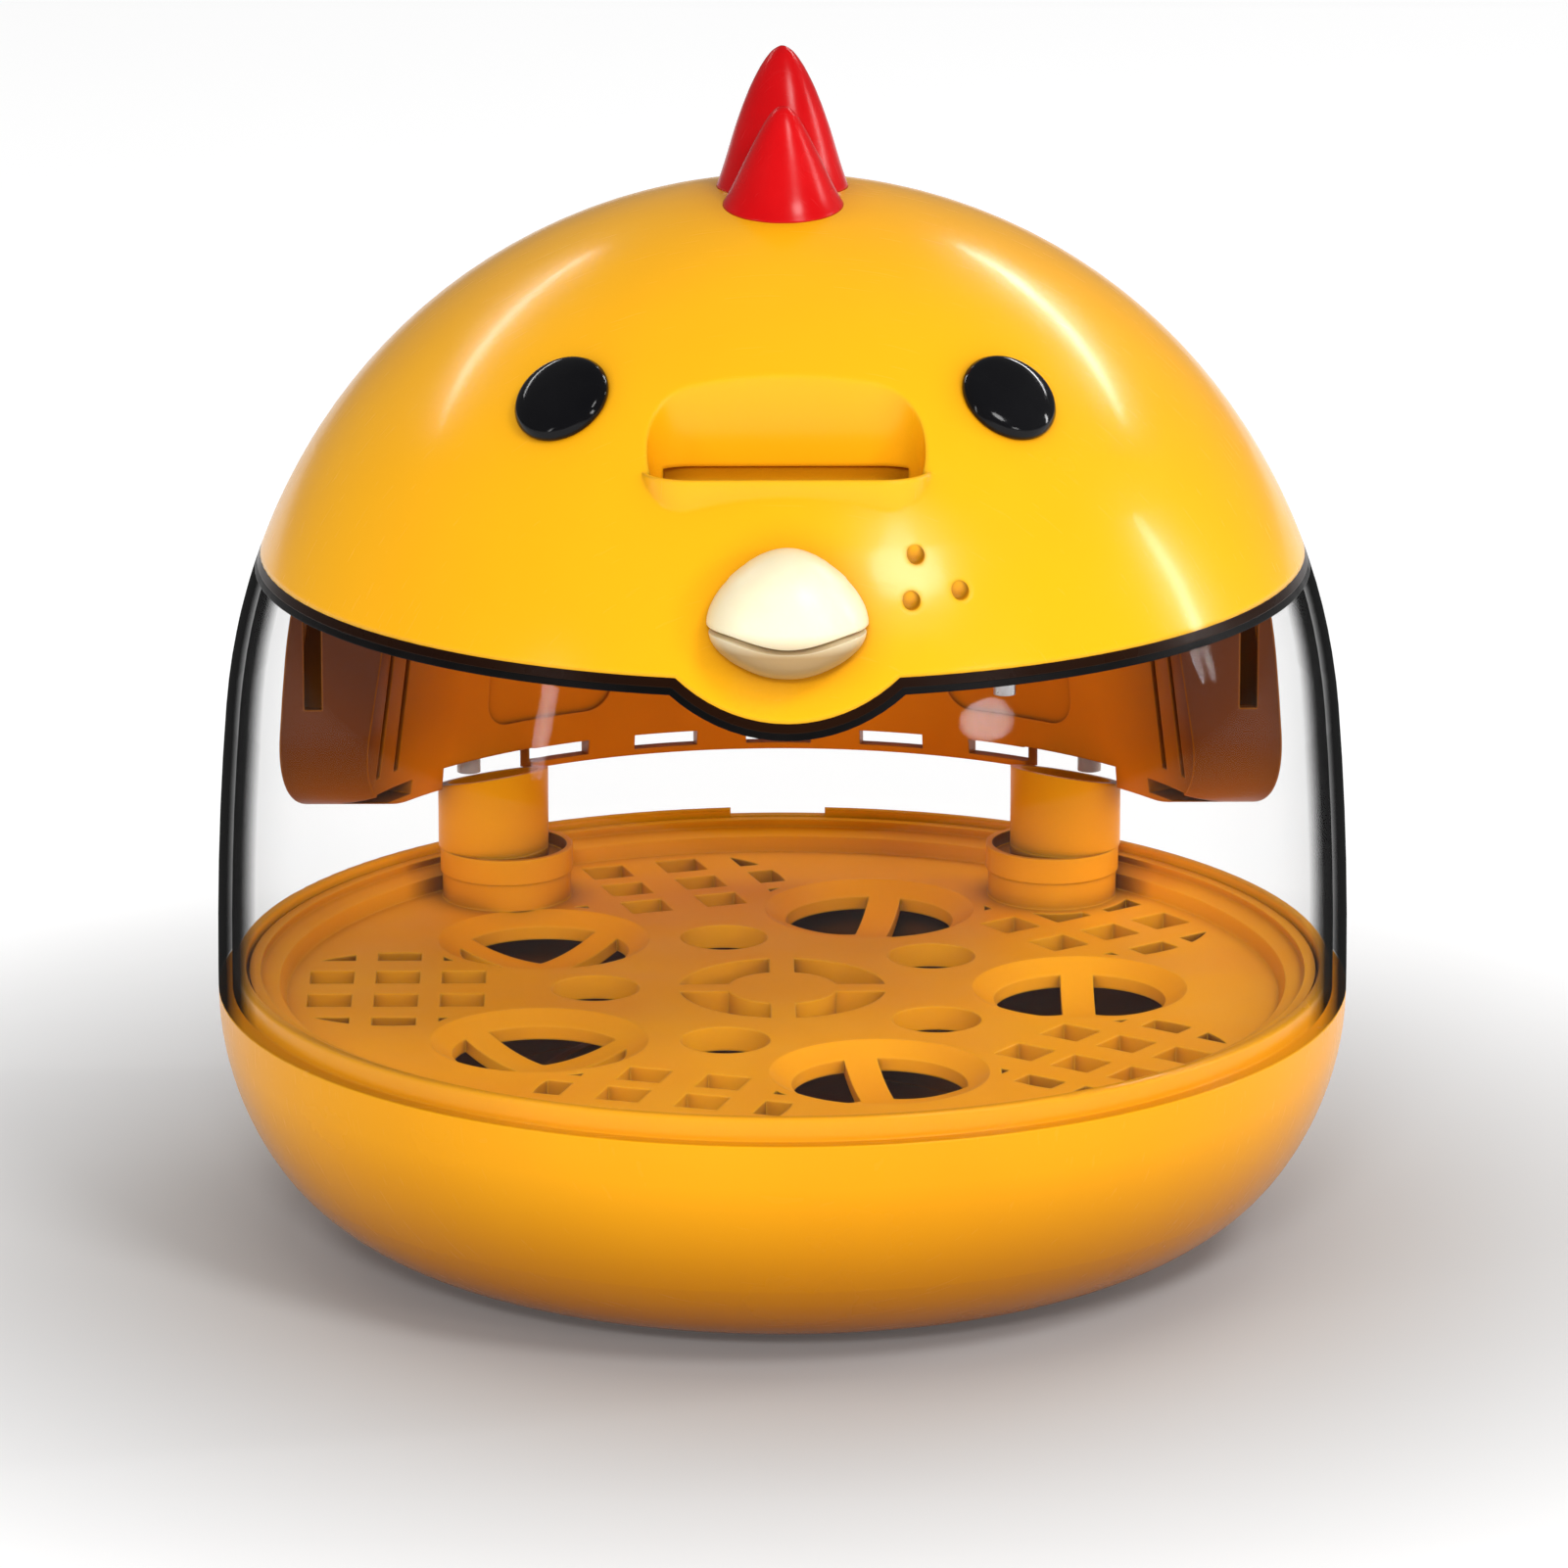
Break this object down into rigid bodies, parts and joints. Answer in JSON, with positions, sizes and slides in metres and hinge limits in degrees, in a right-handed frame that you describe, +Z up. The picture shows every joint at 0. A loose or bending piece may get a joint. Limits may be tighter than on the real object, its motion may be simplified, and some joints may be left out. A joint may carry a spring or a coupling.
{
  "type": "egg incubator",
  "caption": "Round tabletop egg incubator shaped like a chick, with a clear shell, slotted egg tray, rear air duct and lift-off head.",
  "frame": {"origin": "centre of the bowl on the standing plane, under the rubber feet", "axes": "+Z up, -Y towards the face and beak, +X to the side with the three small pits"},
  "size_m": [0.2044, 0.2044, 0.2169],
  "materials": {
    "dome_yellow": "high gloss",
    "base_orange": "high gloss",
    "tray_orange": "satin moulded",
    "pan_brown": "satin moulded",
    "hood_amber": "gloss, slightly translucent",
    "comb_red": "high gloss",
    "eye_black": "high gloss",
    "beak_cream": "satin",
    "clear_smoke": "clear, faint smoke tint, polished",
    "seal_black": "matt",
    "foot_rubber": "matt",
    "screw_steel": "zinc plated",
    "fan_black": "fine moulded texture",
    "heater_steel": "heat tinted",
    "board_green": "solder mask",
    "chip_dark": "matt",
    "nozzle_white": "satin",
    "hose_silicone": "milky silicone",
    "button_white": "satin"
  },
  "bodies": {
    "base": {"base_bowl": "base_orange", "rubber_feet": "foot_rubber"},
    "pan": {"water_pan": "pan_brown"},
    "tray": {"egg_tray": "tray_orange", "right_water_pipe": "tray_orange", "left_water_pipe": "tray_orange", "pipe_seals": "seal_black"},
    "lid": {"dome_shell": "dome_yellow", "hopper_tank": "dome_yellow", "crest": "comb_red", "crest_screws": "screw_steel", "right_eye": "eye_black", "left_eye": "eye_black", "upper_beak": "beak_cream", "lower_beak": "beak_cream", "beak_screws": "screw_steel", "trim_ring": "hood_amber", "shell_seal": "seal_black", "clear_shell": "clear_smoke", "rear_hood": "hood_amber", "right_nozzle": "nozzle_white", "left_nozzle": "nozzle_white", "right_water_channel": "nozzle_white", "left_water_channel": "nozzle_white", "right_hose": "hose_silicone", "left_hose": "hose_silicone", "fan_deck": "hood_amber", "deck_screws": "screw_steel", "fan_frame": "fan_black", "fan_screws": "screw_steel", "fan_guard": "fan_black", "heater_coil": "heater_steel", "heater_clips": "screw_steel", "thermal_cutout": "heater_steel", "control_board": "board_green", "board_parts": "chip_dark", "board_screws": "screw_steel", "dc_socket": "chip_dark", "socket_nut": "screw_steel", "button_switch": "chip_dark", "temperature_probe": "screw_steel", "probe_clip": "nozzle_white"},
    "fan": {"fan_rotor": "fan_black", "fan_shaft": "screw_steel"},
    "button": {"power_button": "button_white"}
  },
  "joints": [
    {"name": "pan_lift", "type": "slide", "parent": "base", "child": "pan", "axis": [0, 0, 1], "range_m": [0, 0.06]},
    {"name": "tray_lift", "type": "slide", "parent": "pan", "child": "tray", "axis": [0, 0, 1], "range_m": [0, 0.08]},
    {"name": "lid_lift", "type": "slide", "parent": "tray", "child": "lid", "axis": [0, 0, 1], "range_m": [0, 0.16]},
    {"name": "fan_spin", "type": "hinge", "parent": "lid", "child": "fan", "pos_m": [0, 0, 0.138], "axis": [0, 0, 1], "continuous": true},
    {"name": "button_press", "type": "slide", "parent": "lid", "child": "button", "axis": [0, -0.7599, -0.6501], "range_m": [0, 0.001], "stiffness_N_per_m": 400, "springref_m": -0.0005}
  ]
}
